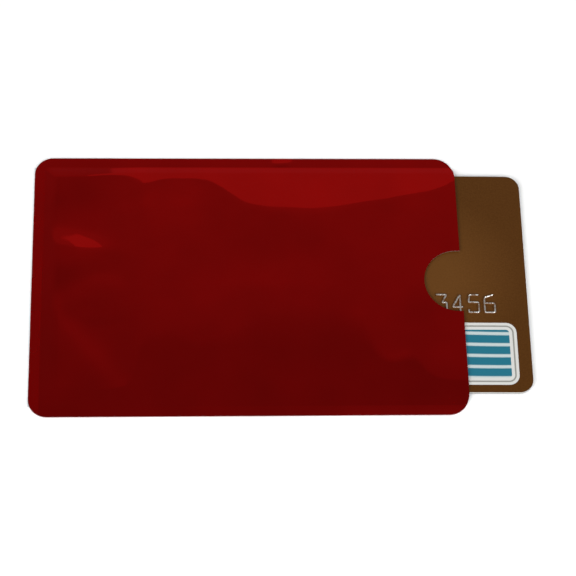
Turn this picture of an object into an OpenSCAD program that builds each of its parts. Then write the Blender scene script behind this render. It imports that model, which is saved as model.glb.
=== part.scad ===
// Foil-laminate sleeve for one payment card, welded on three sides, with its card drawn part way out.
// Each panel of the sleeve is a printed film, an aluminium foil and a sealing liner.
// Origin: centre of the sleeve's underside. +X points out of the mouth, +Y to the upper side weld, +Z up.

/* [Card] */
// Length of the card, a standard ID-1 size
card_l = 85.6; // [75:0.1:95]
// Width of the card
card_w = 53.98; // [45:0.01:62]
// Radius of the card's corners
card_corner_r = 3.18; // [2:0.01:5]
// Thickness of the clear overlay on each face
overlay_t = 0.05; // [0.04:0.01:0.1]
// Thickness of the printed sheet under each overlay
print_sheet_t = 0.15; // [0.1:0.01:0.25]
// Thickness of the inlay sheet, which carries the antenna
inlay_t = 0.36; // [0.3:0.01:0.5]
// Height of the raised digits that the pocket leaves room for
digit_h = 0.46; // [0.2:0.01:0.6]

/* [Card position] */
// How far the card stands out of the mouth
card_out = 14.8; // [0:0.1:60]
// Shift of the card towards the upper side weld
card_shift = 0.3; // [-0.5:0.1:0.5]
// Turn of the card in the sleeve, in degrees
card_turn = -0.5; // [-0.6:0.1:0.6]

/* [Pocket] */
// Free width between the card's long edge and each side weld
side_play = 2.5; // [2.1:0.1:5]
// Free length between the end weld and a card pushed fully in
end_play = 2.2; // [1.5:0.1:5]
// How far the mouth reaches past a card pushed fully in
mouth_cover = 6.5; // [2:0.1:12]
// Gap between the rear liner and the card
rest_gap = 0.1; // [0.05:0.05:0.3]
// Gap between the card's front and the front panel, all round the card
face_gap = 0.1; // [0.05:0.05:0.3]
// Gap between the raised digits and the front panel
digit_gap = 0.1; // [0.05:0.05:0.3]
// Distance beside the card's edge that the front panel's ramp leaves free
ramp_gap = 0.1; // [0.05:0.05:0.3]
// Width of the shoulder in which the front panel rises from the card's edge to its crown
shoulder_w = 10; // [4:0.5:20]

/* [Laminate] */
// Thickness of the printed outer film
film_t = 0.05; // [0.03:0.01:0.1]
// Thickness of the aluminium foil
foil_t = 0.03; // [0.02:0.01:0.06]
// Thickness of the sealing liner
liner_t = 0.07; // [0.04:0.01:0.12]

/* [Welds and outline] */
// Width of each side weld
side_weld_w = 2.5; // [1.5:0.1:5]
// Width of the weld across the closed end
end_weld_w = 2.7; // [1.5:0.1:5]
// Radius of the two corners at the closed end
end_corner_r = 4.2; // [1:0.1:8]
// Radius of the two corners at the mouth
mouth_corner_r = 4.6; // [1:0.1:8]

/* [Thumb notch] */
// Radius of the notch's round end
notch_r = 7.5; // [5:0.1:12]
// How much of a card pushed fully in shows in the notch
notch_reveal = 2; // [0.5:0.1:5]

/* [Chip module] */
// Distance from the card's left edge to the middle of the module
module_from_left = 15.06; // [14:0.01:18]
// Distance from the card's upper edge to the middle of the module
module_from_top = 23.89; // [20:0.01:28]
// Length of the module along the card
module_l = 13; // [11:0.1:14]
// Width of the module across the card
module_w = 11.8; // [10.8:0.1:13]
// Radius of the module's corners
module_corner_r = 2; // [0.5:0.1:3]
// Thickness of the contacts
contact_t = 0.035; // [0.02:0.005:0.04]
// Distance between two neighbouring contacts, middle to middle
contact_pitch = 2.54; // [2.4:0.01:2.7]
// Width of the grooves between the contacts
contact_groove_w = 0.2; // [0.1:0.05:0.3]
// Width of the field between the two rows of contacts
centre_field_w = 5.2; // [4:0.1:6]
// Length and width of the epoxy block over the chip
encapsulation_w = 7; // [6:0.1:7.5]
// Gap between the epoxy block and the window in the inlay sheet
window_gap = 0.2; // [0.1:0.05:0.3]
// Gap between the epoxy block and the rear printed sheet
encapsulation_relief = 0.04; // [0.02:0.01:0.08]
// Length of the chip
chip_l = 3.2; // [2:0.1:5]
// Width of the chip
chip_w = 2.6; // [2:0.1:5]
// Thickness of the chip
chip_t = 0.15; // [0.1:0.01:0.2]

/* [Antenna] */
// Number of turns
antenna_turns = 4; // [2:1:5]
// Width of the antenna's track
track_w = 0.4; // [0.2:0.05:0.5]
// Gap between two turns
track_gap = 0.5; // [0.2:0.05:0.6]
// Thickness of the track
track_t = 0.04; // [0.02:0.01:0.06]
// Distance from the card's edge to the outer turn
antenna_inset = 3; // [2:0.1:4]
// Radius of the outer turn's corners
antenna_corner_r = 6; // [4:0.1:9]
// Distance of each antenna end from the middle of the module, across the card
land_offset = 2.2; // [1:0.1:4]
// Length of the land that each antenna end has under the module
land_l = 2.2; // [1:0.1:2.4]
// Width of the lands
land_w = 1.6; // [0.8:0.1:2]

/* [Back of the card] */
// Width of the magnetic stripe
stripe_w = 12.7; // [8:0.1:14]
// Distance from the card's upper edge to the magnetic stripe
stripe_from_top = 4; // [3.5:0.1:6]
// Length of the signature panel
signature_l = 60; // [40:1:66]
// Width of the signature panel
signature_w = 9.5; // [6:0.1:12]
// Gap between the magnetic stripe and the signature panel
signature_gap = 3; // [1:0.1:6]
// Distance from the card's right edge, seen from the front, to the signature panel
signature_from_right = 6; // [3:0.5:8]
// Depth to which stripe and signature panel are pressed into the overlay
pressed_t = 0.02; // [0.01:0.005:0.03]

/* [Hidden] */
$fn = 48;
over = 1; // how far a cutting shape runs past what it cuts
ramp_steps = 8;
shoulder_steps = 8;
arc_steps = 6;

// Overall sizes, worked out from the card that goes in
pocket_w = card_w + 2 * side_play;
sleeve_w = pocket_w + 2 * side_weld_w;
sleeve_l = end_weld_w + end_play + card_l + mouth_cover;
mouth_x = sleeve_l / 2;
pocket_end_x = end_weld_w - sleeve_l / 2;

// Levels
liner_z = film_t + foil_t;
panel_t = liner_z + liner_t;
card_z = panel_t + rest_gap;
card_t = inlay_t + 2 * (print_sheet_t + overlay_t);

// Front panel: it lies flat on the welds, climbs a ramp to the card's edge and then a shoulder to its crown
turned_side = abs(card_shift) + card_l / 2 * sin(abs(card_turn));
turned_end = card_w / 2 * sin(abs(card_turn));
ramp_l = min(side_play - turned_side, end_play - turned_end) - ramp_gap;
edge_rise = rest_gap + card_t + face_gap;
crown_rise = digit_h + digit_gap - face_gap;
crown_z = panel_t + edge_rise + crown_rise;
roof_top = crown_z + panel_t + over;

// Thumb notch
notch_depth = mouth_cover + notch_reveal;

// Levels in the card, from its back
rear_print_z = overlay_t;
inlay_z = rear_print_z + print_sheet_t;
inlay_top = inlay_z + inlay_t;
front_print_z = inlay_top;
front_overlay_z = front_print_z + print_sheet_t;
track_z = inlay_top - track_t;
contact_z = card_t - contact_t;

// Places in the card, from its middle
module_x = module_from_left - card_l / 2;
module_y = card_w / 2 - module_from_top;
stripe_y = card_w / 2 - stripe_from_top - stripe_w;
signature_x = card_l / 2 - signature_from_right - signature_l;
signature_y = stripe_y - signature_gap - signature_w;
track_pitch = track_w + track_gap;
coil_left = antenna_inset + track_w / 2 - card_l / 2;
coil_end_x = coil_left + (antenna_turns - 1) * track_pitch;
outer_end_y = module_y - land_offset;
inner_end_y = module_y + land_offset;
land_x = module_x - module_l / 2;

// Height of the front panel's inner face over a weld, at a distance d inside the weld
function rise(d) =
    d < ramp_l ? edge_rise * (1 - cos(180 * d / ramp_l)) / 2
               : edge_rise + crown_rise * sin(90 * (d - ramp_l) / shoulder_w);

// Distances inside a weld at which the front panel bends
bends = concat([for (i = [0 : ramp_steps]) ramp_l * i / ramp_steps],
               [for (i = [1 : shoulder_steps]) ramp_l + shoulder_w * i / shoulder_steps]);

// Points of one corner of the antenna, as radius r round a centre, from angle a on
function corner_arc(centre, r, a) =
    [for (i = [0 : arc_steps]) centre + r * [cos(a + 90 * i / arc_steps), sin(a + 90 * i / arc_steps)]];

// One edge of the antenna's track, a distance s inside its middle line, from the outer end to the inner one
function track_edge(s) =
    let (x = card_l / 2 - antenna_inset - track_w / 2 - antenna_corner_r,
         y = card_w / 2 - antenna_inset - track_w / 2 - antenna_corner_r,
         centres = [[-x, -y], [x, -y], [x, y], [-x, y]])
    concat([[coil_left + s, outer_end_y]],
           [for (t = [0 : antenna_turns - 1], q = [0 : 3])
                each corner_arc(centres[q], antenna_corner_r - t * track_pitch - s, 180 + 90 * q)],
           [[coil_end_x + s, inner_end_y]]);

function reversed(points) = [for (i = [len(points) - 1 : -1 : 0]) points[i]];

// What lies outside a corner of radius r, with the corner's tip at the origin and its body towards -X and -Y
module corner_waste(r) {
    difference() {
        translate([-r, -r]) square(r + over);
        translate([-r, -r]) circle(r);
    }
}

// Rectangle about the origin with corners of radius r_left and r_right
module rounded_outline(l, w, r_left, r_right) {
    difference() {
        square([l, w], center = true);
        for (side = [0, 1]) mirror([0, side]) {
            translate([l / 2, w / 2]) corner_waste(r_right);
            mirror([1, 0]) translate([l / 2, w / 2]) corner_waste(r_left);
        }
    }
}

module thumb_notch() {
    translate([mouth_x - notch_depth + notch_r, 0]) {
        circle(notch_r);
        translate([0, -notch_r]) square([notch_depth + over, 2 * notch_r]);
    }
}

// Outline that both panels are punched to
module panel_outline() {
    difference() {
        rounded_outline(sleeve_l, sleeve_w, end_corner_r, mouth_corner_r);
        thumb_notch();
    }
}

// Part of the panels between the welds
module pocket_outline() {
    intersection() {
        panel_outline();
        translate([pocket_end_x, -pocket_w / 2]) square([sleeve_l, pocket_w]);
    }
}

// Everything under the front panel's inner face, raised by lift and widened by grow
module under_front(lift, grow) {
    base = -grow;
    side = sleeve_w / 2 + grow;
    end = sleeve_l / 2 + grow;
    flat_z = panel_t + lift;
    near = [for (d = bends) [d - pocket_w / 2, flat_z + rise(d)]];
    far = reversed([for (d = bends) [pocket_w / 2 - d, flat_z + rise(d)]]);
    slope = [for (d = bends) [pocket_end_x + d, flat_z + rise(d)]];
    intersection() {
        rotate([90, 0, 90]) linear_extrude(2 * end, center = true)
            polygon(concat([[-side, base], [-side, flat_z]], near, far, [[side, flat_z], [side, base]]));
        rotate([90, 0, 0]) linear_extrude(2 * side, center = true)
            polygon(concat([[-end, base], [-end, flat_z]], slope, [[end, crown_z + lift], [end, base]]));
    }
}

// Layer of the front panel, t thick, with its underside lift above the panel's inner face
module front_layer(lift, t) {
    difference() {
        intersection() {
            linear_extrude(roof_top) children();
            under_front(lift + t, 0);
        }
        under_front(lift, over);
    }
}

module place_card() {
    translate([mouth_x + card_out - card_l / 2, card_shift, card_z]) rotate(card_turn) children();
}

module card_outline() {
    rounded_outline(card_l, card_w, card_corner_r, card_corner_r);
}

module module_outline() {
    translate([module_x, module_y])
        rounded_outline(module_l, module_w, module_corner_r, module_corner_r);
}

// Pocket milled into the card's front for the chip module
module module_seat() {
    translate([0, 0, front_print_z]) linear_extrude(card_t) module_outline();
}

module stripe_area() {
    translate([-card_l / 2, stripe_y]) square([card_l, stripe_w]);
}

module signature_area() {
    translate([signature_x, signature_y]) square([signature_l, signature_w]);
}

module antenna_land(y) {
    translate([land_x, y - land_w / 2]) square([land_l, land_w]);
}

// Antenna as seen from the front: one track, its two lands and the pad under its outer end
module antenna_outline() {
    polygon(concat(track_edge(-track_w / 2), reversed(track_edge(track_w / 2))));
    translate([coil_end_x - track_w / 2, inner_end_y - track_w / 2])
        square([land_x - coil_end_x + track_w, track_w]);
    antenna_land(inner_end_y);
    antenna_land(outer_end_y);
    translate([coil_left, outer_end_y]) circle(track_w);
}

// Jumper on the back of the inlay sheet, from the antenna's outer end to its land, with a rivet at each end
module bridge_solid() {
    land_middle = land_x + land_l / 2;
    translate([coil_left - track_w, outer_end_y - track_w, inlay_z])
        cube([land_middle - coil_left + 2 * track_w, 2 * track_w, track_t]);
    for (x = [coil_left, land_middle])
        translate([x, outer_end_y, inlay_z]) cylinder(h = inlay_t - track_t, r = track_w / 2);
}

// Sleeve
module rear_film() {
    color("#7a0a0a") linear_extrude(film_t) panel_outline();
}

module rear_foil() {
    color("#c9ccd0") translate([0, 0, film_t]) linear_extrude(foil_t) panel_outline();
}

module rear_liner() {
    color("#dfe2e4") translate([0, 0, liner_z]) linear_extrude(liner_t) pocket_outline();
}

module front_liner() {
    color("#dfe2e4") front_layer(0, liner_t) pocket_outline();
}

module front_foil() {
    color("#c9ccd0") front_layer(liner_t, foil_t) panel_outline();
}

module front_film() {
    color("#7a0a0a") front_layer(liner_t + foil_t, film_t) panel_outline();
}

// Bands in which the two liners have melted into one
module side_weld(side) {
    translate([0, 0, liner_z]) linear_extrude(2 * liner_t) intersection() {
        panel_outline();
        translate([0, side * (pocket_w + side_weld_w) / 2])
            square([sleeve_l, side_weld_w], center = true);
    }
}

module upper_side_weld() {
    color("#b7bbbf") side_weld(1);
}

module lower_side_weld() {
    color("#b7bbbf") side_weld(-1);
}

module end_weld() {
    color("#b7bbbf") translate([-sleeve_l / 2, -pocket_w / 2, liner_z])
        cube([end_weld_w, pocket_w, 2 * liner_t]);
}

// Sheets of the card
module rear_overlay() {
    color("#e8e4da") place_card() difference() {
        linear_extrude(overlay_t) card_outline();
        translate([0, 0, pressed_t - over]) linear_extrude(over) {
            translate([-over, 0]) stripe_area();
            translate([over, 0]) stripe_area();
            signature_area();
        }
    }
}

module magnetic_stripe() {
    color("#241c18") place_card() linear_extrude(pressed_t) stripe_area();
}

module signature_panel() {
    color("#f1efe8") place_card() linear_extrude(pressed_t) signature_area();
}

module rear_print_sheet() {
    color("#5b3717") place_card() translate([0, 0, rear_print_z])
        linear_extrude(print_sheet_t) card_outline();
}

module inlay_sheet() {
    window = encapsulation_w + 2 * window_gap;
    color("#f3f3f0") place_card() difference() {
        translate([0, 0, inlay_z]) linear_extrude(inlay_t) card_outline();
        translate([module_x, module_y, inlay_z - over]) linear_extrude(inlay_t + 2 * over)
            square(window, center = true);
        translate([0, 0, track_z]) linear_extrude(over) antenna_outline();
        bridge_solid();
    }
}

module antenna_coil() {
    color("#b87333") place_card() translate([0, 0, track_z]) linear_extrude(track_t) antenna_outline();
}

module antenna_bridge() {
    color("#c58a4a") place_card() bridge_solid();
}

module front_print_sheet() {
    color("#573414") place_card() difference() {
        translate([0, 0, front_print_z]) linear_extrude(print_sheet_t) card_outline();
        module_seat();
    }
}

module front_overlay() {
    color("#5e3a18") place_card() difference() {
        translate([0, 0, front_overlay_z]) linear_extrude(overlay_t) card_outline();
        module_seat();
    }
}

// Grooves that part the contact plate into eight contacts, of which the upper right one takes in the centre
module contact_grooves() {
    groove_x = (centre_field_w + contact_groove_w) / 2;
    for (side = [-1, 1]) {
        top = side > 0 ? contact_pitch + contact_groove_w / 2 : module_w;
        translate([side * groove_x - contact_groove_w / 2, -module_w])
            square([contact_groove_w, module_w + top]);
        for (row = [-1 : 1])
            translate([side > 0 ? groove_x : -module_l, row * contact_pitch - contact_groove_w / 2])
                square([module_l - groove_x, contact_groove_w]);
    }
}

module contact_plate() {
    color("#d8b25a") place_card() translate([0, 0, contact_z]) linear_extrude(contact_t) difference() {
        module_outline();
        translate([module_x, module_y]) contact_grooves();
    }
}

module module_carrier() {
    color("#c9a26a") place_card() translate([0, 0, front_print_z])
        linear_extrude(contact_z - front_print_z) module_outline();
}

module chip_block() {
    translate([module_x - chip_l / 2, module_y - chip_w / 2, inlay_top - chip_t])
        cube([chip_l, chip_w, chip_t]);
}

module chip() {
    color("#3a3d42") place_card() chip_block();
}

module chip_encapsulation() {
    block_t = inlay_t - encapsulation_relief;
    color("#1d1f22") place_card() difference() {
        translate([module_x - encapsulation_w / 2, module_y - encapsulation_w / 2, inlay_top - block_t])
            cube([encapsulation_w, encapsulation_w, block_t]);
        chip_block();
    }
}

rear_film();
rear_foil();
rear_liner();
front_liner();
front_foil();
front_film();
upper_side_weld();
lower_side_weld();
end_weld();
rear_overlay();
magnetic_stripe();
signature_panel();
rear_print_sheet();
inlay_sheet();
antenna_coil();
antenna_bridge();
front_print_sheet();
front_overlay();
contact_plate();
module_carrier();
chip();
chip_encapsulation();
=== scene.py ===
import math

import bmesh
import bpy
from bpy.props import FloatProperty, FloatVectorProperty, PointerProperty, StringProperty
from mathutils import Matrix, Vector, noise


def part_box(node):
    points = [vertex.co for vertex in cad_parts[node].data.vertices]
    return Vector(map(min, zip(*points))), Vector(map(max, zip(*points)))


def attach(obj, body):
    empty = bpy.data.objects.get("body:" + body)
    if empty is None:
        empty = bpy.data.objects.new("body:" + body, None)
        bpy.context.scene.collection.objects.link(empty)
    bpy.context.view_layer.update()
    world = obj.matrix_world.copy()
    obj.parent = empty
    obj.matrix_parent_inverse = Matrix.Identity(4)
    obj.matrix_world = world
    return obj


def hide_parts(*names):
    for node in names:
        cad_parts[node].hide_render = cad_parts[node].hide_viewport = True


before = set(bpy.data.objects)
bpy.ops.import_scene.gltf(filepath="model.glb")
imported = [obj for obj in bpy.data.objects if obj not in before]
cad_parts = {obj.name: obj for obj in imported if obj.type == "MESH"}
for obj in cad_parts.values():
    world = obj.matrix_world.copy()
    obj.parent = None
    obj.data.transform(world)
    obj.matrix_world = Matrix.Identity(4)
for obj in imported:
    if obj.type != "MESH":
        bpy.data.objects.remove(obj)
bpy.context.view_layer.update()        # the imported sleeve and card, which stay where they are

bl_info = {
    "name": "Foil card sleeve",
    "version": (1, 0, 0),
    "blender": (4, 5, 0),
    "location": "3D View > Sidebar > Card Sleeve",
    "description": "Forms the laminate of a welded card sleeve, dresses its payment card and sets the stage",
    "category": "Object",
}

MM = 0.001


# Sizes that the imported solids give, in metres

PANEL_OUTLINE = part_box("rear_film")
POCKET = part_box("rear_liner")
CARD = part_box("front_overlay")
CARD_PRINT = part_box("front_print_sheet")
FILM_T = PANEL_OUTLINE[1].z
FOIL_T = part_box("rear_foil")[1].z - FILM_T
PANEL_T = POCKET[1].z
LINER_T = PANEL_T - POCKET[0].z
CARD_TOP = CARD[1].z
CARD_MIDDLE = (CARD[0] + CARD[1]) / 2
ROOF_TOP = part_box("front_film")[1].z

# The card's standard size and how it lies in the sleeve

CARD_LENGTH = 85.6 * MM
CARD_WIDTH = 53.98 * MM
CARD_TURN = math.radians(-0.5)
CARD_PUSH_IN = 21.3 * MM      # how far the card still slides in from where it lies

# What is raised or printed on the card

DIGIT_LINE = 21.42 * MM - CARD_WIDTH / 2      # middle of the row of digits over the middle of the card
LAST_DIGIT_FROM_RIGHT = 8.7 * MM              # middle of the last digit to the card's right edge
DIGIT_TURN = 0.7 * MM                         # how near a corner a digit's stroke begins to turn
PRESSED_SHARE = 0.02                          # height that is left of the underside of a digit's ridge
PANEL_FROM_RIGHT = 3.0 * MM
PANEL_FROM_BOTTOM = 1.8 * MM
PANEL_CORNER = 2.4 * MM
PANEL_LEAST_CORNER = 0.6 * MM
INK_T = 0.006                                 # thickness of the first print in millimetres
INK_STEP = 0.003                              # how much thicker each print that lies on it is
FACE_DEPTH = 0.004 * MM                       # how deep under a sheet's face its ink reaches
# painted sheen: the front print is painted lighter about this spot, in place of the lamps' glancing reflection
# in its pearl ink
PAINTED_SHEEN_SPOT = (43 * MM, 1.5 * MM)              # where the card's front print is lightest

# Stage, in metres. The tall panel stands a metre behind the sleeve. Its left edge ends the long highlight.

BACK_PANEL = Vector((0.55, 1.0, 0.865))
BACK_PANEL_AIM = Vector((0.55, 0, 0.865))
BACK_PANEL_SIZE = (1.224, 1.73)
SOFT_BOX = (0.95, -0.9, 1.1)      # one to each side
SOFT_BOX_SIZE = (1.0, 1.0)
TABLE_RADIUS = 4.0
TABLE_GAP = 0.02 * MM

# Camera, fitted to the outlines in the photograph: angles in degrees, lengths in millimetres

CAMERA_ELEVATION = 65.04
CAMERA_AZIMUTH = -8.03
CAMERA_ROLL = 7.18
CAMERA_TARGET = Vector((9.135 * MM, -1.004 * MM, 0))
CAMERA_DISTANCE = 437.8
CAMERA_LENS = 121.1
CAMERA_SENSOR = 36.0


def linear(hex_colour):
    """The linear colour that an sRGB hex value stands for, with full opacity."""
    shares = [int(hex_colour[i:i + 2], 16) / 255 for i in (1, 3, 5)]
    curve = [c / 12.92 if c <= 0.04045 else ((c + 0.055) / 1.055) ** 2.4 for c in shares]
    return (*curve, 1.0)


def colour(name, description, hex_colour):
    """A colour that the user can change."""
    return FloatVectorProperty(name=name, description=description, subtype="COLOR", size=4,
                               min=0, max=1, default=linear(hex_colour))


def length(name, description, millimetres):
    """A length that the user can change."""
    return FloatProperty(name=name, description=description, unit="LENGTH", subtype="DISTANCE",
                         precision=5, default=millimetres * MM)


class CARDSLEEVE_PG_sleeve(bpy.types.PropertyGroup):
    """Sizes and colours of the sleeve"""
    crown: length("Crown", "Height of the front panel's inner face over the table, away from its folds", 1.48)
    clearance: length("Clearance", "Gap that the front panel keeps over the card", 0.05)
    ripple: length("Ripple", "Height of the faint waves all over the front panel", 0.012)
    cell: length("Cell", "Size of the front panel's mesh cells", 0.62)
    film: colour("Film", "Red of the printed film over its metal coat", "#AE0402")
    film_deep: colour("Deep film", "Red where the ink of the film lies a little thicker", "#A60301")
    foil: colour("Foil", "Aluminium foil", "#DADDE0")
    # the liner's grey is darker than milky polyethylene: painted shade on its thin cut edges, such as along
    # the notch
    liner: colour("Liner", "Polyethylene sealing liner over the foil", "#A3A5A4")
    weld: colour("Weld", "Liner that has melted and cooled again", "#C3C8CB")


class CARDSLEEVE_PG_card(bpy.types.PropertyGroup):
    """Sizes and colours of the card"""
    digits: StringProperty(name="Digits", description="Raised digits on the card's front",
                           default="1234 5678 9012 3456")
    digit_height: length("Digit height", "Height of a raised digit across the card", 4.3)
    digit_width: length("Digit width", "Width of a raised digit along the card", 2.3)
    digit_pitch: length("Digit pitch", "Distance from one raised digit to the next", 3.63)
    digit_raise: length("Digit raise", "How far the digits stand out of the card", 0.4)
    stroke: length("Stroke", "Width of a digit's ridge at its foot", 0.66)
    panel_length: length("Panel length", "Length of the printed panel", 24)
    panel_width: length("Panel width", "Width of the printed panel", 15)
    print_colour: colour("Print", "Brown print of the card", "#472702")
    # the light tone of the print's screen and grain, also the colour of the painted sheen where it is
    # brightest
    light_print_and_sheen: colour("Light print", "Brown print where it is lightest", "#5D3913")
    # the core's grey is darker than off-white PVC: painted shade on the card's thin cut edge, which is all of
    # the core that shows
    core: colour("Core", "Off-white plastic core of the card", "#BEBFBB")
    tipping: colour("Tipping", "Silver foil on the raised digits", "#CFD1CF")
    panel: colour("Panel", "Field of the printed panel", "#1C6A7E")
    border: colour("Border", "Light border of the printed panel", "#CDCDC9")
    line: colour("Line", "Grey line in the border of the printed panel", "#8C8C86")
    gold: colour("Gold", "Gold plating of the contacts", "#E3BE6C")
    copper: colour("Copper", "Etched antenna", "#C47A45")


class CARDSLEEVE_PG_stage(bpy.types.PropertyGroup):
    """Light and surroundings"""
    floor: colour("Floor", "White table that the sleeve lies on", "#F7F7F7")
    surround: FloatProperty(name="Surround", description="Brightness of the room towards the back light",
                            default=0.40, min=0)
    overhead: FloatProperty(name="Overhead", description="Brightness of the room over the table",
                            default=0.272, min=0)
    back_light: FloatProperty(name="Back light", description="Brightness of the tall panel behind the table",
                              default=0.165, min=0)
    soft_box: FloatProperty(name="Soft boxes", description="Brightness of the soft boxes beside the camera",
                            default=6.6, min=0)


def sleeve_settings():
    return bpy.context.scene.card_sleeve


def card_settings():
    return bpy.context.scene.card_in_sleeve


def stage_settings():
    return bpy.context.scene.card_stage


# Front panel: how the laminate lies over the card, in millimetres from the middle of the sleeve's underside

# Rise of the shoulder along the upper weld: place along the sleeve, height gained for each millimetre
UPPER_RISE = ((-48.5, 0.4), (-31.0, 0.35), (-25.0, 0.1), (-16.0, 0.12), (-7.6, 0.105), (-0.3, 0.056),
              (12.3, 0.044), (17.4, 0.045), (25.8, 0.056), (39.3, 0.09), (46.0, 0.15), (48.5, 0.3))
# Fold where the slope towards the lower weld begins: place along the sleeve, distance from the ramp
LOWER_FOLD = ((-48.5, 1.8), (-27.0, 2.0), (-24.0, 11.0), (-19.0, 12.5), (-11.0, 10.0), (-2.0, 12.0),
              (6.0, 15.5), (21.0, 16.0), (25.5, 14.0), (29.0, 8.5), (33.0, 6.5), (36.5, 8.0), (39.5, 4.5),
              (43.0, 3.2), (48.5, 2.8))
# Swells: two ends of their middle line, half widths to its left and right, reach past its ends, height
SWELLS = (
    ((-14.0, -11.0), (19.0, -10.0), (8.5, 8.0), 8.0, 0.055),   # fullness over the lower half of the card
    ((-2.0, 6.0), (16.0, 6.0), (8.0, 8.0), 9.0, -0.10),        # valley between the upper fold and the digits
    ((-29.0, 27.0), (-12.0, 27.0), (6.0, 17.0), 7.0, -0.33),   # long slope towards the upper weld
    ((-46.0, 28.0), (-40.0, 28.0), (6.0, 8.0), 6.0, 0.25),     # lift in the closed upper corner
    ((-23.5, 27.0), (-23.5, 19.0), (3.0, 3.0), 6.0, 0.07),     # ridge over the end of the card
    ((-46.0, 9.7), (-40.0, 8.8), (2.4, 11.0), 6.4, 0.44),      # pinch that catches the light
    ((29.5, -23.0), (34.5, -20.0), (2.6, 1.8), 2.0, 0.09),     # short fold near the lower weld
    ((38.5, -3.0), (40.5, -3.0), (7.0, 5.0), 3.5, 0.06),       # lift beside the notch
)
# Empty end of the pocket: height in its lower corner, border towards the crown and how far the border leans
EMPTY_END_Z = 1.56
EMPTY_END = (-36.0, -24.0)
EMPTY_END_LEAN = 0.2
# Creases that fan out from the closed end: two points of the line, half widths there, fall across the line
CREASES = (
    ((-43.0, -7.0), (-27.0, -26.0), (1.8, 2.6), 0.13),         # lower arm
    ((-43.5, -4.5), (-33.0, -0.5), (2.4, 2.4), 0.17),          # upper arm
    ((-45.0, 8.0), (-30.0, 9.0), (7.0, 8.0), 0.22),            # long fall towards the upper weld
)
# Swells of the welded margins
WELD_SWELLS = (
    ((7.5, 30.6), (9.5, 30.8), (0.8, 0.8), 0.9, 0.045),        # small blister in the upper weld
    ((26.0, -33.2), (50.0, -33.2), (2.2, 2.2), 9.0, 0.075),    # curl of the lower edge near the mouth
)
# Faint waves: their size along and across the sleeve
BROAD_RIPPLE = (9, 7)
FINE_RIPPLE = (4, 3.5)
# Room for the raised digits over their crests and beside their row, and how the panel falls off beside that
DIGITS_ROOM_OVER = 0.03
DIGITS_ROOM_BESIDE = 0.35
DIGITS_FALL = 0.006
# Distance beside the card that the ramp leaves free, and how far a fold may reach into the clearance
RAMP_ROOM = 0.12
FOLD_DIP = 0.02
# Radii with which the parts of the front panel flow into each other
ROUNDING = {"empty end": 0.2, "digits": 0.05, "upper slope": 0.09, "lower slope": 0.11, "ceiling": 0.03,
            "floor": 0.02, "side ramp": 0.08, "end ramp": 0.4, "weld": 0.03}

# Cuts of the front panel, counted from a weld's inner edge into the pocket

COARSE_END = -0.4 * MM
FINE_START = -0.3 * MM
RAMP_STEP = 0.12 * MM
RAMP_END = 2.4 * MM
SHOULDER_STEP = 0.3 * MM
FINE_END = 6 * MM

SHARP_ANGLE = math.radians(40)


def smooth_min(a, b, radius):
    """The lower of a and b, rounded where they meet."""
    overlap = max(radius - abs(a - b), 0.0)
    return min(a, b) - overlap * overlap / (4 * radius)


def smooth_max(a, b, radius):
    """The higher of a and b, rounded where they meet."""
    return -smooth_min(-a, -b, radius)


def along(points, x):
    """Value at x of the smooth curve through points."""
    x = min(max(x, points[0][0]), points[-1][0])
    i = next(k for k in range(1, len(points)) if x <= points[k][0])
    (x0, y0), (x1, y1) = points[i - 1], points[i]
    before = points[max(i - 2, 0)]
    after = points[min(i + 1, len(points) - 1)]
    span = x1 - x0
    slope_0 = (y1 - before[1]) / (x1 - before[0]) * span
    slope_1 = (after[1] - y0) / (after[0] - x0) * span
    t = (x - x0) / span
    return ((2 * t ** 3 - 3 * t ** 2 + 1) * y0 + (t ** 3 - 2 * t ** 2 + t) * slope_0
            + (3 * t ** 2 - 2 * t ** 3) * y1 + (t ** 3 - t ** 2) * slope_1)


def beside_line(x, y, start, end):
    """Place of (x, y) along a line from its start, distance to the line's left, and the line's length."""
    length_x = end[0] - start[0]
    length_y = end[1] - start[1]
    whole = math.hypot(length_x, length_y)
    forward = ((x - start[0]) * length_x + (y - start[1]) * length_y) / whole
    left = (length_x * (y - start[1]) - length_y * (x - start[0])) / whole
    return forward, left, whole


def swell(x, y, start, end, half_widths, reach, height):
    """Height at (x, y) of a soft ridge along the line from start to end."""
    forward, left, whole = beside_line(x, y, start, end)
    beyond = max(-forward, forward - whole, 0.0)
    half_width = half_widths[0] if left > 0 else half_widths[1]
    return height * math.exp(-(left / half_width) ** 2 - (beyond / reach) ** 2)


def crease_fall(x, y, start, end, half_widths, fall):
    """How far the panel has fallen at (x, y), left of a line across which it falls softly."""
    forward, left, whole = beside_line(x, y, start, end)
    share = min(max(forward / whole, 0.0), 1.0)
    half_width = half_widths[0] + share * (half_widths[1] - half_widths[0])
    return fall * (0.5 + 0.5 * math.tanh(left / half_width))


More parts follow.
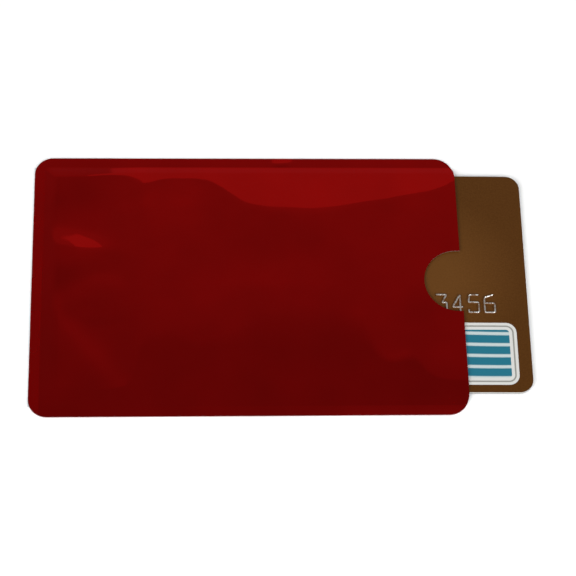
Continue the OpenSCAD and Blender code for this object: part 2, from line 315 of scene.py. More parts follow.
class Roof:
    """Height of the front panel's inner face over the table"""

    def __init__(self):
        settings = sleeve_settings()
        card = card_settings()
        self.left = POCKET[0].x / MM
        self.low = POCKET[0].y / MM
        self.high = POCKET[1].y / MM
        self.weld_z = PANEL_T / MM
        self.edge_z = (CARD_TOP + settings.clearance) / MM
        self.crown = settings.crown / MM
        self.ripple = settings.ripple / MM
        self.ceiling = (ROOF_TOP - PANEL_T) / MM
        side_gap = min(POCKET[1].y - CARD[1].y, CARD[0].y - POCKET[0].y) / MM
        self.ramp = side_gap - RAMP_ROOM
        self.digits_z = (CARD_TOP + card.digit_raise) / MM + DIGITS_ROOM_OVER
        self.digits_y = (CARD_MIDDLE.y + DIGIT_LINE) / MM
        self.digits_half = (card.digit_height + card.stroke) / 2 / MM + DIGITS_ROOM_BESIDE
        row = len(card.digits) * card.digit_pitch
        self.digits_x = (CARD_MIDDLE.x + CARD_LENGTH / 2 - LAST_DIGIT_FROM_RIGHT - row - CARD_PUSH_IN) / MM

    def height(self, x, y):
        """Height over the point (x, y)."""
        upper = self.high - y
        lower = y - self.low
        closed = x - self.left
        # the creased empty end goes over into the crown
        fallen = EMPTY_END_Z - sum(crease_fall(x, y, *c) for c in CREASES)
        empty = smooth_max(fallen, self.edge_z, ROUNDING["empty end"])
        share = (x + EMPTY_END_LEAN * y - EMPTY_END[0]) / (EMPTY_END[1] - EMPTY_END[0])
        share = min(max(share, 0.0), 1.0)
        z = empty + (self.crown - empty) * share * share * (3 - 2 * share)
        z += sum(swell(x, y, *s) for s in SWELLS)
        broad_ripple = noise.noise(Vector((x / BROAD_RIPPLE[0], y / BROAD_RIPPLE[1], 0.5)))
        fine_ripple = noise.noise(Vector((x / FINE_RIPPLE[0], y / FINE_RIPPLE[1], 7.5)))
        z += self.ripple * (broad_ripple + 0.5 * fine_ripple)
        # the raised digits hold it up, also where they get to when the card is pushed in
        beside_row = max(abs(y - self.digits_y) - self.digits_half, 0.0)
        beside_digits = math.hypot(beside_row, max(self.digits_x - x, 0.0))
        z = smooth_max(z, self.digits_z - DIGITS_FALL * beside_digits ** 2, ROUNDING["digits"])
        # slopes towards the two side welds
        z = smooth_min(z, self.edge_z + (upper - self.ramp) * along(UPPER_RISE, x), ROUNDING["upper slope"])
        lower_rise = (self.crown - self.edge_z) / along(LOWER_FOLD, x)
        z = smooth_min(z, self.edge_z + (lower - self.ramp) * lower_rise, ROUNDING["lower slope"])
        z = smooth_min(z, self.ceiling, ROUNDING["ceiling"])
        z = smooth_max(z, self.edge_z - FOLD_DIP, ROUNDING["floor"])
        # ramps down to the three welds
        for distance, part in ((upper, "side ramp"), (lower, "side ramp"), (closed, "end ramp")):
            ramp_z = self.weld_z + (self.edge_z - self.weld_z) * distance / self.ramp
            z = smooth_min(z, ramp_z, ROUNDING[part])
        return smooth_max(z, self.weld_z, ROUNDING["weld"]) + sum(swell(x, y, *s) for s in WELD_SWELLS)


def merged_copy(node):
    """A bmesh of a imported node, with its doubles merged and its flat triangles joined into one face each."""
    bm = bmesh.new()
    bm.from_mesh(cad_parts[node].data)
    bmesh.ops.remove_doubles(bm, verts=bm.verts, dist=1e-7)
    bmesh.ops.dissolve_limit(bm, angle_limit=math.radians(1), use_dissolve_boundaries=False,
                             verts=bm.verts, edges=bm.edges)
    return bm


def cut_places(low, high, step, fine_low, fine_high):
    """Places between low and high for cuts a step apart, closer together beside each end that is welded."""
    places = []
    place = low + step
    while place < high:
        places.append(place)
        place += step
    for fine, sign in ((fine_low, 1), (fine_high, -1)):
        if fine is None:
            continue
        places = [p for p in places if not COARSE_END < sign * (p - fine) < FINE_END]
        offset = FINE_START
        while offset < FINE_END:
            places.append(fine + sign * offset)
            offset += RAMP_STEP if offset < RAMP_END else SHOULDER_STEP
    return sorted(p for p in places if low < p < high)


def cut_grid(bm, cell):
    """Cuts a flat panel into the cells in which it bends."""
    low, high = PANEL_OUTLINE
    rows = cut_places(low.y, high.y, cell, POCKET[0].y, POCKET[1].y)
    columns = cut_places(low.x, high.x, cell, POCKET[0].x, None)
    for direction, places in ((Vector((1, 0, 0)), columns), (Vector((0, 1, 0)), rows)):
        for place in places:
            whole = bm.verts[:] + bm.edges[:] + bm.faces[:]
            bmesh.ops.bisect_plane(bm, geom=whole, plane_co=direction * place, plane_no=direction,
                                   dist=1e-8)


def form_layer(bm, roof, lift, thickness):
    """Lays a cut panel over the card, with its underside lift above the panel's inner face."""
    middle = sum(v.co.z for v in bm.verts) / len(bm.verts)
    for v in bm.verts:
        top = v.co.z > middle
        v.co.z = roof.height(v.co.x / MM, v.co.y / MM) * MM + lift + (thickness if top else 0.0)
    bm.normal_update()


def finish_mesh(bm, name, material):
    """Turns a bmesh into a piece at the origin, smooth but for its sharp edges."""
    mesh = bpy.data.meshes.new(name)
    bm.to_mesh(mesh)
    bm.free()
    mesh.shade_smooth()
    mesh.set_sharp_from_angle(angle=SHARP_ANGLE)
    mesh.materials.append(material)
    piece = bpy.data.objects.new(name, mesh)
    bpy.context.scene.collection.objects.link(piece)
    return piece


# Materials

WAVE = math.pi / 10      # a wave texture of scale 1 repeats after this length


def add(tree, kind, inputs=None, **settings):
    """Adds a node with its settings, and links or fills its inputs, which are given by name or number."""
    node = tree.nodes.new(kind)
    for name, value in settings.items():
        setattr(node, name, value)
    for name, value in (inputs or {}).items():
        if isinstance(value, bpy.types.NodeSocket):
            tree.links.new(value, node.inputs[name])
        else:
            node.inputs[name].default_value = value
    return node


def start_material(name, **sockets):
    """A material with plain values on its shader's sockets, with its tree, its shader and the point."""
    made = bpy.data.materials.new(name)
    made.use_nodes = True
    tree = made.node_tree
    shader = tree.nodes["Principled BSDF"]
    for socket, value in sockets.items():
        shader.inputs[socket.replace("_", " ")].default_value = value
    point = add(tree, "ShaderNodeTexCoord").outputs["Object"]
    return made, tree, shader, point


def spots(tree, point, size, detail=2.0, stretch=(1, 1, 1)):
    """Share from 0 to 1 that changes softly over spots of the given size in metres."""
    spread = add(tree, "ShaderNodeMapping", {"Vector": point, "Scale": stretch}).outputs[0]
    noisy = add(tree, "ShaderNodeTexNoise", {"Vector": spread, "Scale": 1 / size, "Detail": detail})
    return add(tree, "ShaderNodeMapRange", {"Value": noisy.outputs["Fac"], "From Min": 0.32,
                                            "From Max": 0.68}).outputs[0]


def mottled(tree, shader, share, first, second, rough=None):
    """Colours a surface between two tones by share, and roughens it between two values if they are given."""
    tone = add(tree, "ShaderNodeMix", {0: share, 6: first, 7: second}, data_type="RGBA").outputs[2]
    tree.links.new(tone, shader.inputs["Base Color"])
    if rough:
        dull = add(tree, "ShaderNodeMapRange", {"Value": share, "To Min": rough[0], "To Max": rough[1]})
        tree.links.new(dull.outputs[0], shader.inputs["Roughness"])


def pebbled(tree, shader, point, size, depth, detail=2.0):
    """Gives a surface a fine relief of pebbles of the given size and depth in metres."""
    pebbles = add(tree, "ShaderNodeTexNoise", {"Vector": point, "Scale": 1 / size, "Detail": detail})
    bump = add(tree, "ShaderNodeBump", {"Height": pebbles.outputs["Fac"], "Distance": depth, "Strength": 1.0})
    tree.links.new(bump.outputs[0], shader.inputs["Normal"])


def ink_on_face(tree, point, face, ink, bare):
    """Colour of a sheet that is printed on the face at one height only, so that its cut edge stays bare."""
    height = add(tree, "ShaderNodeSeparateXYZ", {0: point}).outputs["Z"]
    inked = add(tree, "ShaderNodeMath", {0: height, 1: face, 2: FACE_DEPTH}, operation="COMPARE").outputs[0]
    return add(tree, "ShaderNodeMix", {0: inked, 6: bare, 7: ink}, data_type="RGBA").outputs[2]


def glossy_red_film():
    """Polyester film, printed red inside over a vapour-deposited metal coat: a dark, clear mirror."""
    look = sleeve_settings()
    # light reflected at a glancing angle also passes the ink, so it stays reddish
    made, tree, shader, point = start_material(
        "metallised polyester film, red printed", Metallic=1.0, Specular_Tint=(1.0, 0.45, 0.45, 1.0),
        Coat_Weight=0.1, Coat_Roughness=0.03, Coat_IOR=1.5)
    # the ink lies a little thicker in clouds about 14 mm wide
    mottled(tree, shader, spots(tree, point, 14 * MM), look.film, look.film_deep)
    # the bar that welds the closed end is knurled and leaves the film there satin
    along_sleeve = add(tree, "ShaderNodeSeparateXYZ", {0: point}).outputs["X"]
    satin = add(tree, "ShaderNodeMapRange", {"Value": along_sleeve, "From Min": POCKET[0].x - 0.2 * MM,
                                             "From Max": POCKET[0].x - 0.5 * MM, "To Max": 0.22}).outputs[0]
    # fingers and the print leave a haze in clouds of 5 mm
    haze = add(tree, "ShaderNodeMapRange", {"Value": spots(tree, point, 5 * MM), "To Min": 0.035,
                                            "To Max": 0.065}).outputs[0]
    rough = add(tree, "ShaderNodeMath", {0: haze, 1: satin}, operation="ADD").outputs[0]
    tree.links.new(rough, shader.inputs["Roughness"])
    # orange peel of 1.6 mm, a quarter of a micron deep
    pebbled(tree, shader, point, 1.6 * MM, 0.00025 * MM)
    return made


def rolled_foil():
    """Household-thin aluminium foil, rolled: fine lines along the web in a soft silver sheen."""
    look = sleeve_settings()
    made, tree, shader, point = start_material("aluminium foil, rolled", Metallic=1.0, Anisotropic=0.4)
    lines = spots(tree, point, 0.3 * MM, 3.0, (0.04, 1, 1))
    shade = tuple(0.93 * c for c in look.foil[:3]) + (1.0,)
    mottled(tree, shader, lines, look.foil, shade, rough=(0.2, 0.36))
    pebbled(tree, shader, point, 0.4 * MM, 0.002 * MM)
    return made


def milky_liner():
    """Blown polyethylene film: milky, waxy and faintly cloudy, in a grey darker than its own, which is painted
    shade on its thin cut edges.
    """
    look = sleeve_settings()
    made, tree, shader, point = start_material(
        "polyethylene liner, blown", IOR=1.51, Subsurface_Weight=0.15,
        Subsurface_Radius=(0.4 * MM, 0.4 * MM, 0.4 * MM))
    shade = tuple(0.88 * c for c in look.liner[:3]) + (1.0,)
    mottled(tree, shader, spots(tree, point, 3 * MM), look.liner, shade, rough=(0.3, 0.4))
    pebbled(tree, shader, point, 0.8 * MM, 0.002 * MM)
    return made


def knurled_weld():
    """Polyethylene pressed by a hot knurled bar: greyer than the liner, with a fine regular mark."""
    look = sleeve_settings()
    made, tree, shader, point = start_material("polyethylene weld, heat sealed", IOR=1.51)
    shade = tuple(0.82 * c for c in look.weld[:3]) + (1.0,)
    mottled(tree, shader, spots(tree, point, 1.5 * MM), look.weld, shade, rough=(0.36, 0.5))
    # knurls 0.5 mm apart, 10 microns deep
    knurls = add(tree, "ShaderNodeTexVoronoi", {"Vector": point, "Scale": 1 / (0.5 * MM), "Randomness": 0.1})
    bump = add(tree, "ShaderNodeBump", {"Height": knurls.outputs["Distance"], "Distance": 0.01 * MM})
    tree.links.new(bump.outputs[0], shader.inputs["Normal"])
    return made


def printed_overlay(name, face, sheen_spot, edge):
    """Brown offset print under a clear pressed overlay: even, with a fine pearl grain, a satin gloss and a
    painted sheen that lightens it about one spot.
    """
    look = card_settings()
    made, tree, shader, point = start_material(
        name, Roughness=0.4, IOR=1.54, Specular_IOR_Level=0.12, Coat_Weight=0.04, Coat_Roughness=0.12)
    # painted sheen: the print is painted lighter about the sheen spot and falls off over 20 mm, in place of a
    # glancing reflection of the lamps
    away = add(tree, "ShaderNodeVectorMath", {0: point, 1: sheen_spot}, operation="DISTANCE").outputs["Value"]
    near = add(tree, "ShaderNodeMapRange", {"Value": away, "From Min": 20 * MM, "From Max": 4 * MM,
                                            "To Max": 0.8}).outputs[0]
    # pearl pigment gathers in grains of a third of a millimetre; the painted sheen is added to the grain
    pearl = add(tree, "ShaderNodeMath", {0: spots(tree, point, 0.35 * MM, 3.0), 1: 0.4, 2: near},
                operation="MULTIPLY_ADD", use_clamp=True).outputs[0]
    ink = add(tree, "ShaderNodeMix", {0: pearl, 6: look.print_colour, 7: look.light_print_and_sheen}, data_type="RGBA")
    tree.links.new(ink_on_face(tree, point, face, ink.outputs[2], edge), shader.inputs["Base Color"])
    pebbled(tree, shader, point, 0.25 * MM, 0.0006 * MM)
    return made


def printed_sheet(name, face, plastic):
    """Plastic sheet with brown screened ink on one face, so that its cut edge shows the plastic."""
    look = card_settings()
    made, tree, shader, point = start_material(name, Roughness=0.5, IOR=1.54)
    screen = spots(tree, point, 0.2 * MM)
    ink = add(tree, "ShaderNodeMix", {0: screen, 6: look.print_colour, 7: look.light_print_and_sheen}, data_type="RGBA")
    tree.links.new(ink_on_face(tree, point, face, ink.outputs[2], plastic), shader.inputs["Base Color"])
    pebbled(tree, shader, point, 0.3 * MM, 0.002 * MM)
    return made


def white_core():
    """Calendered PVC core sheet: off-white with a dull cut edge, in a grey darker than off-white, which is
    painted shade on that thin edge.
    """
    look = card_settings()
    made, tree, shader, point = start_material("PVC core sheet, calendered", IOR=1.54)
    shade = tuple(0.9 * c for c in look.core[:3]) + (1.0,)
    mottled(tree, shader, spots(tree, point, 0.5 * MM), look.core, shade, rough=(0.45, 0.55))
    pebbled(tree, shader, point, 0.2 * MM, 0.003 * MM, 3.0)
    return made


def magnetic_tape():
    """Iron oxide tape pressed into the card: near black, with faint coating streaks along it."""
    made, tree, shader, point = start_material("magnetic tape, hot pressed", IOR=1.6)
    streaks = spots(tree, point, 0.5 * MM, 3.0, (0.03, 1, 1))
    mottled(tree, shader, streaks, linear("#1E1613"), linear("#2E2420"), rough=(0.28, 0.42))
    pebbled(tree, shader, point, 0.1 * MM, 0.0015 * MM)
    return made


def signature_lacquer():
    """Matt white lacquer to write on, with fine slanting guard lines."""
    made, tree, shader, point = start_material("signature lacquer, screen printed", IOR=1.5)
    turned = add(tree, "ShaderNodeMapping", {"Vector": point, "Rotation": (0, 0, math.radians(35))})
    # guard lines 0.8 mm apart
    waves = add(tree, "ShaderNodeTexWave", {"Vector": turned.outputs[0], "Scale": WAVE / (0.8 * MM)})
    lines = add(tree, "ShaderNodeMapRange", {"Value": waves.outputs["Fac"], "From Min": 0.8,
                                             "From Max": 0.95}).outputs[0]
    mottled(tree, shader, lines, linear("#F2F0EA"), linear("#C9CFD2"), rough=(0.88, 0.75))
    pebbled(tree, shader, point, 0.1 * MM, 0.004 * MM, 3.0)
    return made


def etched_copper(name, base, dull):
    """Copper foil etched to a track: rosy metal with a faint tarnish in spots."""
    made, tree, shader, point = start_material(name, Metallic=1.0)
    mottled(tree, shader, spots(tree, point, 1.2 * MM, 4.0), base, dull, rough=(0.26, 0.45))
    pebbled(tree, shader, point, 0.08 * MM, 0.001 * MM)
    return made


def gold_contacts():
    """Hard gold on nickel, plated on rolled copper: warm, with fine rolling lines and rub marks."""
    look = card_settings()
    made, tree, shader, point = start_material("gold plating, rolled base", Metallic=1.0, Anisotropic=0.3)
    shade = (look.gold[0] * 0.85, look.gold[1] * 0.78, look.gold[2] * 0.68, 1.0)
    mottled(tree, shader, spots(tree, point, 0.6 * MM, 5.0), look.gold, shade, rough=(0.17, 0.33))
    pebbled(tree, shader, point, 0.06 * MM, 0.0008 * MM)
    return made


def glass_epoxy():
    """Glass-epoxy tape: amber resin over a woven glass cloth with threads 0.5 mm apart."""
    made, tree, shader, point = start_material("glass epoxy tape, woven", IOR=1.55)
    weave = add(tree, "ShaderNodeTexChecker", {"Vector": point, "Scale": 1 / (0.5 * MM)}).outputs["Fac"]
    mottled(tree, shader, weave, linear("#C8A468"), linear("#B48E55"), rough=(0.35, 0.45))
    bump = add(tree, "ShaderNodeBump", {"Height": weave, "Distance": 0.004 * MM}).outputs[0]
    tree.links.new(bump, shader.inputs["Normal"])
    return made


def lapped_silicon():
    """Lapped silicon: blue-grey semi-metal with faint grind marks one way."""
    made, tree, shader, point = start_material("silicon die, lapped", Metallic=0.85)
    marks = spots(tree, point, 0.05 * MM, 2.0, (1, 0.08, 1))
    mottled(tree, shader, marks, linear("#50555E"), linear("#3C4048"), rough=(0.18, 0.28))
    pebbled(tree, shader, point, 0.05 * MM, 0.0005 * MM)
    return made


def black_epoxy():
    """Filled epoxy cured in place: soft black with a pebbled skin."""
    made, tree, shader, point = start_material("epoxy encapsulation, cured", IOR=1.55)
    filler = spots(tree, point, 0.15 * MM, 4.0)
    mottled(tree, shader, filler, linear("#1A1B1E"), linear("#2A2C30"), rough=(0.4, 0.52))
    pebbled(tree, shader, point, 0.2 * MM, 0.008 * MM)
    return made


def tipped_plastic(foot):
    """Embossed card plastic with silver tipping foil on its crests: bright lines that are worn in places."""
    look = card_settings()
    made, tree, shader, point = start_material("embossed plastic, silver tipped", IOR=1.54,
                                               Specular_IOR_Level=0.3)
    height = add(tree, "ShaderNodeSeparateXYZ", {0: point}).outputs["Z"]
    crest = add(tree, "ShaderNodeMapRange", {"Value": height, "From Min": foot + 0.74 * look.digit_raise,
                                             "From Max": foot + 0.96 * look.digit_raise}).outputs[0]
    # rub marks 0.5 mm long take some of the foil off again
    kept = add(tree, "ShaderNodeMapRange", {"Value": spots(tree, point, 0.5 * MM, 3.0), "From Min": 0.28,
                                            "From Max": 0.6, "To Min": 0.15}).outputs[0]
    silver = add(tree, "ShaderNodeMath", {0: crest, 1: kept}, operation="MULTIPLY").outputs[0]
    mottled(tree, shader, silver, look.light_print_and_sheen, look.tipping, rough=(0.35, 0.3))
    tree.links.new(silver, shader.inputs["Metallic"])
    pebbled(tree, shader, point, 0.12 * MM, 0.004 * MM)
    return made


def screen_ink(name, first, second, spacing):
    """Screen-printed ink: dense and even, with fine waving lines of a second tone."""
    made, tree, shader, point = start_material(name, IOR=1.5, Specular_IOR_Level=0.3)
    waves = add(tree, "ShaderNodeTexWave", {"Vector": point, "Scale": WAVE / spacing, "Distortion": 3.0,
                                            "Detail": 0.0, "Detail Scale": 0.2}, bands_direction="Y")
    lines = add(tree, "ShaderNodeMapRange", {"Value": waves.outputs["Fac"], "From Min": 0.72,
                                             "From Max": 0.92}).outputs[0]
    mottled(tree, shader, lines, first, second, rough=(0.36, 0.44))
    pebbled(tree, shader, point, 0.2 * MM, 0.001 * MM)
    return made


def white_table():
    """Matt white card stock: pale, with a barely seen mottle."""
    look = stage_settings()
    made, tree, shader, point = start_material("white table, matt", Specular_IOR_Level=0.2)
    shade = tuple(0.985 * c for c in look.floor[:3]) + (1.0,)
    mottled(tree, shader, spots(tree, point, 20 * MM), look.floor, shade, rough=(0.88, 0.95))
    return made


def dress(material, *nodes):
    """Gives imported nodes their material."""
    for name in nodes:
        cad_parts[name].material_slots[0].material = material


# Raised digits

# Middle lines of the digits on a grid that is 2 wide and 4 high; a line that ends where it starts is closed
STROKES = {
    "0": (((0, 0), (2, 0), (2, 4), (0, 4), (0, 0)),),
    "1": (((0.3, 3.2), (1, 4), (1, 0)), ((0.2, 0), (1.8, 0))),
    "2": (((0, 3), (0, 4), (2, 4), (2, 2.2), (0, 1.6), (0, 0), (2, 0)),),
    "3": (((0, 4), (2, 4), (1.1, 2.2), (2, 2.2), (2, 0), (0, 0), (0, 0.8)),),
    "4": (((1.5, 0), (1.5, 4), (0, 1.2), (2, 1.2)),),
    "5": (((2, 4), (0.2, 4), (0, 2.3), (2, 2.3), (2, 0), (0, 0), (0, 0.7)),),
    "6": (((1.7, 4), (0, 3.4), (0, 0), (2, 0), (2, 2.1), (0, 2.1)),),
    "7": (((0, 3.3), (0, 4), (2, 4), (0.8, 1.8), (0.8, 0)),),
    "8": (((0, 0), (2, 0), (2, 2.1), (0, 2.1), (0, 0)), ((0.2, 2.1), (0.2, 4), (1.8, 4), (1.8, 2.1))),
    "9": (((0.3, 0), (2, 0.6), (2, 4), (0, 4), (0, 1.9), (2, 1.9)),),
}


def rounded(points, closed, radius):
    """Points of a path with two more beside each corner, so that a curve through them turns there only."""
    corners = [Vector(p) for p in points]
    if closed:
        corners = corners[:-1]
    path = []
    for i, corner in enumerate(corners):
        if not closed and i in (0, len(corners) - 1):
            path.append(corner)
            continue
        for neighbour in (corners[i - 1], None, corners[(i + 1) % len(corners)]):
            if neighbour is None:
                path.append(corner)
                continue
            step = neighbour - corner
            path.append(corner + step * min(radius / step.length, 0.45))
    return path


def digit_curve(settings):
    """A curve object with a round ridge along every stroke of the row of digits."""
    data = bpy.data.curves.new("digit_strokes", "CURVE")
    data.dimensions = "3D"
    data.bevel_depth = settings.stroke / 2
    data.bevel_resolution = 2
    data.use_fill_caps = True
    scale = Vector((settings.digit_width / 2, settings.digit_height / 4))
    last_x = CARD_LENGTH / 2 - LAST_DIGIT_FROM_RIGHT
    places = [last_x - i * settings.digit_pitch for i in range(len(settings.digits))]
    for character, middle in zip(reversed(settings.digits), places):
        for stroke in STROKES.get(character, ()):
            closed = stroke[0] == stroke[-1]
            points = [((x - 1) * scale.x, (y - 2) * scale.y) for x, y in stroke]
            path = rounded(points, closed, DIGIT_TURN)
            spline = data.splines.new("NURBS")
            spline.points.add(len(path) - 1)
            for point, place in zip(spline.points, path):
                point.co = (place.x + middle, place.y, 0, 1)
            spline.order_u = 3
            spline.use_cyclic_u = closed
            spline.use_endpoint_u = not closed
            spline.resolution_u = 4
    return bpy.data.objects.new("digit_strokes", data)


def raised_digits():
    """Ridges of the digits on the card's front, closed at their foot."""
    settings = card_settings()
    curve = digit_curve(settings)
    bpy.context.scene.collection.objects.link(curve)
    bm = bmesh.new()
    bm.from_mesh(curve.to_mesh())
    bpy.data.objects.remove(curve)
    bmesh.ops.remove_doubles(bm, verts=bm.verts, dist=1e-7)
    bmesh.ops.scale(bm, verts=bm.verts, vec=(1, 1, settings.digit_raise / (settings.stroke / 2)))
    # the lower half of each round ridge is pressed flat on the card
    underside = [v for v in bm.verts if v.co.z < 0]
    bmesh.ops.scale(bm, verts=underside, vec=(1, 1, PRESSED_SHARE))
    bmesh.ops.recalc_face_normals(bm, faces=bm.faces)
    place_on_card(bm, Vector((0, DIGIT_LINE, 0)))
    return bm


def place_on_card(bm, shift):
    """Moves a shape from the middle of the card's plan to its place on the turned card's front."""
    bmesh.ops.translate(bm, verts=bm.verts, vec=shift)
    bmesh.ops.rotate(bm, verts=bm.verts, cent=(0, 0, 0), matrix=Matrix.Rotation(CARD_TURN, 3, "Z"))
    bmesh.ops.translate(bm, verts=bm.verts, vec=(CARD_MIDDLE.x, CARD_MIDDLE.y, CARD_TOP))


def rounded_plate(long_side, short_side, radius, thickness):
    """A thin plate on the origin with rounded corners."""
    bm = bmesh.new()
    bmesh.ops.create_grid(bm, x_segments=1, y_segments=1, size=0.5)
    bmesh.ops.scale(bm, verts=bm.verts, vec=(long_side, short_side, 1))
    bmesh.ops.bevel(bm, geom=bm.verts[:], offset=radius, offset_type="OFFSET", affect="VERTICES", segments=10,
                    profile=0.5, material=-1)
    raised = bmesh.ops.extrude_face_region(bm, geom=bm.faces[:], use_keep_orig=True)
    top = [v for v in raised["geom"] if isinstance(v, bmesh.types.BMVert)]
    bmesh.ops.translate(bm, verts=top, vec=(0, 0, thickness))
    bmesh.ops.recalc_face_normals(bm, faces=bm.faces)
    return bm


# Operators

class CARDSLEEVE_OT_front_panel(bpy.types.Operator):
    """Form the front panel's liner, foil and film over the card"""
    bl_idname = "card_sleeve.front_panel"
    bl_label = "Front panel"

    def execute(self, context):
        roof = Roof()
        cell = sleeve_settings().cell
        panel = merged_copy("rear_film")
        cut_grid(panel, cell)
        pocket = merged_copy("rear_liner")
        cut_grid(pocket, cell)
        layers = (
            ("formed_film", panel.copy(), LINER_T + FOIL_T, FILM_T, glossy_red_film(), "front_film",
             "printed_film"),
            ("formed_foil", panel, LINER_T, FOIL_T, rolled_foil(), "front_foil", "foil"),
            ("formed_liner", pocket, 0.0, LINER_T, milky_liner(), "front_liner", "liner"),
        )
        for name, bm, lift, thickness, material, node, slot in layers:
            form_layer(bm, roof, lift, thickness)
            piece = finish_mesh(bm, name, material)
            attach(piece, "sleeve")
            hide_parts(node)
        dress(bpy.data.materials["metallised polyester film, red printed"], "rear_film")
        dress(bpy.data.materials["aluminium foil, rolled"], "rear_foil")
        dress(bpy.data.materials["polyethylene liner, blown"], "rear_liner")
        return {"FINISHED"}


class CARDSLEEVE_OT_welds(bpy.types.Operator):
    """Give the three welds their knurled finish"""
    bl_idname = "card_sleeve.welds"
    bl_label = "Welds"

    def execute(self, context):
        dress(knurled_weld(), "upper_side_weld", "lower_side_weld", "end_weld")
        return {"FINISHED"}


class CARDSLEEVE_OT_card_sheets(bpy.types.Operator):
    """Give the card's printed sheets, overlays and core their finishes"""
    bl_idname = "card_sleeve.card_sheets"
    bl_label = "Card sheets"

    def execute(self, context):
        # the core's greyed colour gives painted shade to the cut edges of the front overlay and front print
        # sheet as well
        white = card_settings().core
        # dark edge of the back sheets: partly their own dark plastic, partly painted shade standing for the
        # shadow under the card's edge
        dark = linear("#2A211B")
        # spots of painted sheen on the front and the back print
        front_sheen_spot = (*PAINTED_SHEEN_SPOT, CARD_TOP)
        front = printed_overlay("clear overlay over print, front", CARD_TOP, front_sheen_spot, white)
        dress(front, "front_overlay")
        rear_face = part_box("rear_overlay")[0].z
        rear_sheen_spot = (CARD_MIDDLE.x, 0, rear_face)
        dress(printed_overlay("clear overlay over print, back", rear_face, rear_sheen_spot, dark), "rear_overlay")
        dress(printed_sheet("PVC sheet, offset printed front", CARD_PRINT[1].z, white), "front_print_sheet")
        rear_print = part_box("rear_print_sheet")[0].z
        dress(printed_sheet("dark PVC sheet with painted shade, offset printed back", rear_print, dark), "rear_print_sheet")
        dress(white_core(), "inlay_sheet")
        return {"FINISHED"}


class CARDSLEEVE_OT_card_back(bpy.types.Operator):
    """Give the magnetic stripe and the signature panel their finishes"""
    bl_idname = "card_sleeve.card_back"
    bl_label = "Card back"

    def execute(self, context):
        dress(magnetic_tape(), "magnetic_stripe")
        dress(signature_lacquer(), "signature_panel")
        return {"FINISHED"}


class CARDSLEEVE_OT_antenna(bpy.types.Operator):
    """Give the antenna and its bridge their finishes"""
    bl_idname = "card_sleeve.antenna"
    bl_label = "Antenna"

    def execute(self, context):
        copper = card_settings().copper
        dress(etched_copper("copper antenna, etched", copper, linear("#8F5530")), "antenna_coil")
        dress(etched_copper("copper bridge, crimped", linear("#CE9A66"), linear("#9C6A41")), "antenna_bridge")
        return {"FINISHED"}


class CARDSLEEVE_OT_chip_module(bpy.types.Operator):
    """Give the contacts, their carrier, the chip and its epoxy block their finishes"""
    bl_idname = "card_sleeve.chip_module"
    bl_label = "Chip module"

    def execute(self, context):
        dress(gold_contacts(), "contact_plate")
        dress(glass_epoxy(), "module_carrier")
        dress(lapped_silicon(), "chip")
        dress(black_epoxy(), "chip_encapsulation")
        return {"FINISHED"}


class CARDSLEEVE_OT_raised_digits(bpy.types.Operator):
    """Raise the row of digits on the card"""
    bl_idname = "card_sleeve.raised_digits"
    bl_label = "Raised digits"

    def execute(self, context):
        piece = finish_mesh(raised_digits(), "raised_digits", tipped_plastic(CARD_TOP))
        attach(piece, "card")
        return {"FINISHED"}


class CARDSLEEVE_OT_printed_panel(bpy.types.Operator):
    """Print the plain panel with its double border on the card"""
    bl_idname = "card_sleeve.printed_panel"
    bl_label = "Printed panel"

    def execute(self, context):
        look = card_settings()
        middle_x = CARD_LENGTH / 2 - PANEL_FROM_RIGHT - look.panel_length / 2
        middle_y = PANEL_FROM_BOTTOM + look.panel_width / 2 - CARD_WIDTH / 2
        border = screen_ink("screen ink, light grey", look.border, look.border, 1 * MM)
        line = screen_ink("screen ink, mid grey", look.line, look.line, 1 * MM)
        field = screen_ink("screen ink, teal", look.panel, linear("#B9C6C6"), 2.7 * MM)
        # each print lies on the one before it: its distance from the panel's edge and its ink
        prints = (("panel_border", 0.0, border), ("panel_line", 0.65 * MM, line),
                  ("panel_inner_border", 1.0 * MM, border), ("panel_field", 1.7 * MM, field))
        for i, (name, inset, ink) in enumerate(prints):
            bm = rounded_plate(look.panel_length - 2 * inset, look.panel_width - 2 * inset,
                               max(PANEL_CORNER - inset, PANEL_LEAST_CORNER), (INK_T + INK_STEP * i) * MM)
            place_on_card(bm, Vector((middle_x, middle_y, 0)))
            piece = finish_mesh(bm, name, ink)
            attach(piece, "card")
        return {"FINISHED"}


class CARDSLEEVE_OT_stage(bpy.types.Operator):
    """Set the floor, the light, the room and the camera"""
    bl_idname = "card_sleeve.stage"
    bl_label = "Stage"

    def execute(self, context):
        look = stage_settings()
        scene = context.scene
        scene.view_settings.view_transform = "Standard"
        set_floor()
        set_room(scene, look)
        add_soft_light(scene, "back_panel", BACK_PANEL, BACK_PANEL_AIM, BACK_PANEL_SIZE, look.back_light)
        for side in (-1, 1):
            place = Vector((SOFT_BOX[0] * side, SOFT_BOX[1], SOFT_BOX[2]))
            add_soft_light(scene, "soft_box", place, Vector((0, 0, 0)), SOFT_BOX_SIZE, look.soft_box)
        set_camera(scene)
        return {"FINISHED"}


def set_floor():
    """A round table top just under the sleeve."""
    bm = bmesh.new()
    bmesh.ops.create_circle(bm, cap_ends=True, segments=96, radius=TABLE_RADIUS)
    bmesh.ops.translate(bm, verts=bm.verts, vec=(0, 0, -TABLE_GAP))
    finish_mesh(bm, "table", white_table())


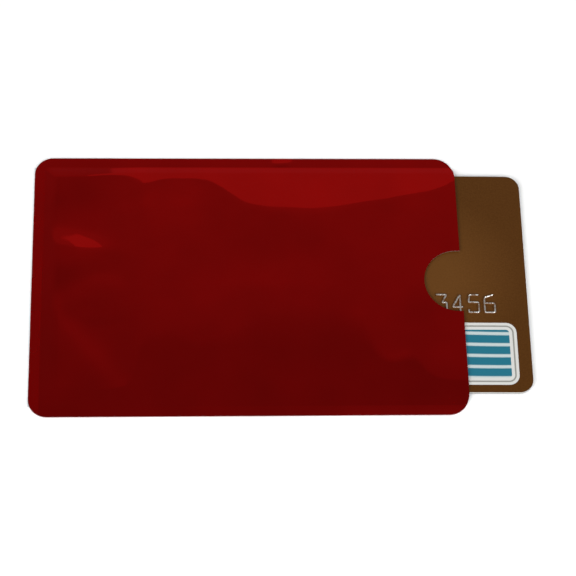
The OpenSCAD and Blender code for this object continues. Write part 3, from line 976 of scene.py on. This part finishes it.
def set_room(scene, look):
    """A plain room, lighter towards the back light and darker overhead, seen mostly in the film."""
    world = bpy.data.worlds.new("room")
    scene.world = world
    world.use_nodes = True
    tree = world.node_tree
    direction = add(tree, "ShaderNodeTexCoord").outputs["Generated"]
    axes = add(tree, "ShaderNodeSeparateXYZ", {0: direction}).outputs
    # the room is lit from behind the table and a little from the right
    side = add(tree, "ShaderNodeMapRange", {"Value": axes["X"], "From Min": -0.1, "From Max": 0.3,
                                            "To Min": -0.025, "To Max": 0.075}).outputs[0]
    depth = add(tree, "ShaderNodeMath", {0: axes["Y"], 1: side}, operation="ADD").outputs[0]
    level = add(tree, "ShaderNodeMapRange", {"Value": depth, "From Min": 0.355, "From Max": 0.5,
                                             "To Min": look.overhead, "To Max": look.surround}).outputs[0]
    background = tree.nodes["Background"]
    tree.links.new(level, background.inputs["Strength"])
    background.inputs["Color"].default_value = (1, 1, 1, 1)


def add_soft_light(scene, name, place, target, size, brightness):
    """A rectangular light of the given brightness, turned towards a point."""
    data = bpy.data.lights.new(name, "AREA")
    data.shape = "RECTANGLE"
    data.size = size[0]
    data.size_y = size[1]
    data.energy = brightness * math.pi * size[0] * size[1]
    light = bpy.data.objects.new(name, data)
    light.location = place
    light.rotation_euler = (target - place).to_track_quat("-Z", "Y").to_euler()
    light.visible_camera = False
    scene.collection.objects.link(light)


def set_camera(scene):
    """The camera looks down at 65 degrees from 0.44 m away, a little from the left, rolled by 7 degrees."""
    elevation = math.radians(CAMERA_ELEVATION)
    azimuth = math.radians(CAMERA_AZIMUTH)
    roll = math.radians(CAMERA_ROLL)
    back = Vector((math.sin(azimuth) * math.cos(elevation), -math.cos(azimuth) * math.cos(elevation),
                   math.sin(elevation)))
    level = (-back).cross(Vector((0, 0, 1))).normalized()
    upright = level.cross(-back)
    right = level * math.cos(roll) + upright * math.sin(roll)
    up = upright * math.cos(roll) - level * math.sin(roll)
    data = bpy.data.cameras.new("camera")
    data.lens = CAMERA_LENS
    data.sensor_width = CAMERA_SENSOR
    data.clip_start = 0.01
    camera = bpy.data.objects.new("camera", data)
    turn = Matrix((right, up, back)).transposed().to_4x4()
    camera.matrix_world = Matrix.Translation(CAMERA_TARGET + back * CAMERA_DISTANCE * MM) @ turn
    scene.collection.objects.link(camera)
    scene.camera = camera


class CARDSLEEVE_PT_panel(bpy.types.Panel):
    """Steps and settings of the card sleeve"""
    bl_idname = "CARDSLEEVE_PT_panel"
    bl_label = "Card Sleeve"
    bl_space_type = "VIEW_3D"
    bl_region_type = "UI"
    bl_category = "Card Sleeve"

    def draw(self, context):
        layout = self.layout
        for step in STEPS:
            layout.operator(step.bl_idname)
        for group in (sleeve_settings(), card_settings(), stage_settings()):
            box = layout.box()
            for name in group.__annotations__:
                box.prop(group, name)


GROUPS = (CARDSLEEVE_PG_sleeve, CARDSLEEVE_PG_card, CARDSLEEVE_PG_stage)
STEPS = (CARDSLEEVE_OT_front_panel, CARDSLEEVE_OT_welds, CARDSLEEVE_OT_card_sheets, CARDSLEEVE_OT_card_back,
         CARDSLEEVE_OT_antenna, CARDSLEEVE_OT_chip_module, CARDSLEEVE_OT_raised_digits,
         CARDSLEEVE_OT_printed_panel, CARDSLEEVE_OT_stage)


def register():
    for cls in (*GROUPS, *STEPS, CARDSLEEVE_PT_panel):
        bpy.utils.register_class(cls)
    bpy.types.Scene.card_sleeve = PointerProperty(type=CARDSLEEVE_PG_sleeve)
    bpy.types.Scene.card_in_sleeve = PointerProperty(type=CARDSLEEVE_PG_card)
    bpy.types.Scene.card_stage = PointerProperty(type=CARDSLEEVE_PG_stage)


def unregister():
    del bpy.types.Scene.card_stage
    del bpy.types.Scene.card_in_sleeve
    del bpy.types.Scene.card_sleeve
    for cls in reversed((*GROUPS, *STEPS, CARDSLEEVE_PT_panel)):
        bpy.utils.unregister_class(cls)


def main():
    register()
    bpy.ops.card_sleeve.front_panel()
    bpy.ops.card_sleeve.welds()
    bpy.ops.card_sleeve.card_sheets()
    bpy.ops.card_sleeve.card_back()
    bpy.ops.card_sleeve.antenna()
    bpy.ops.card_sleeve.chip_module()
    bpy.ops.card_sleeve.raised_digits()
    bpy.ops.card_sleeve.printed_panel()
    bpy.ops.card_sleeve.stage()


if __name__ == "__main__":
    main()
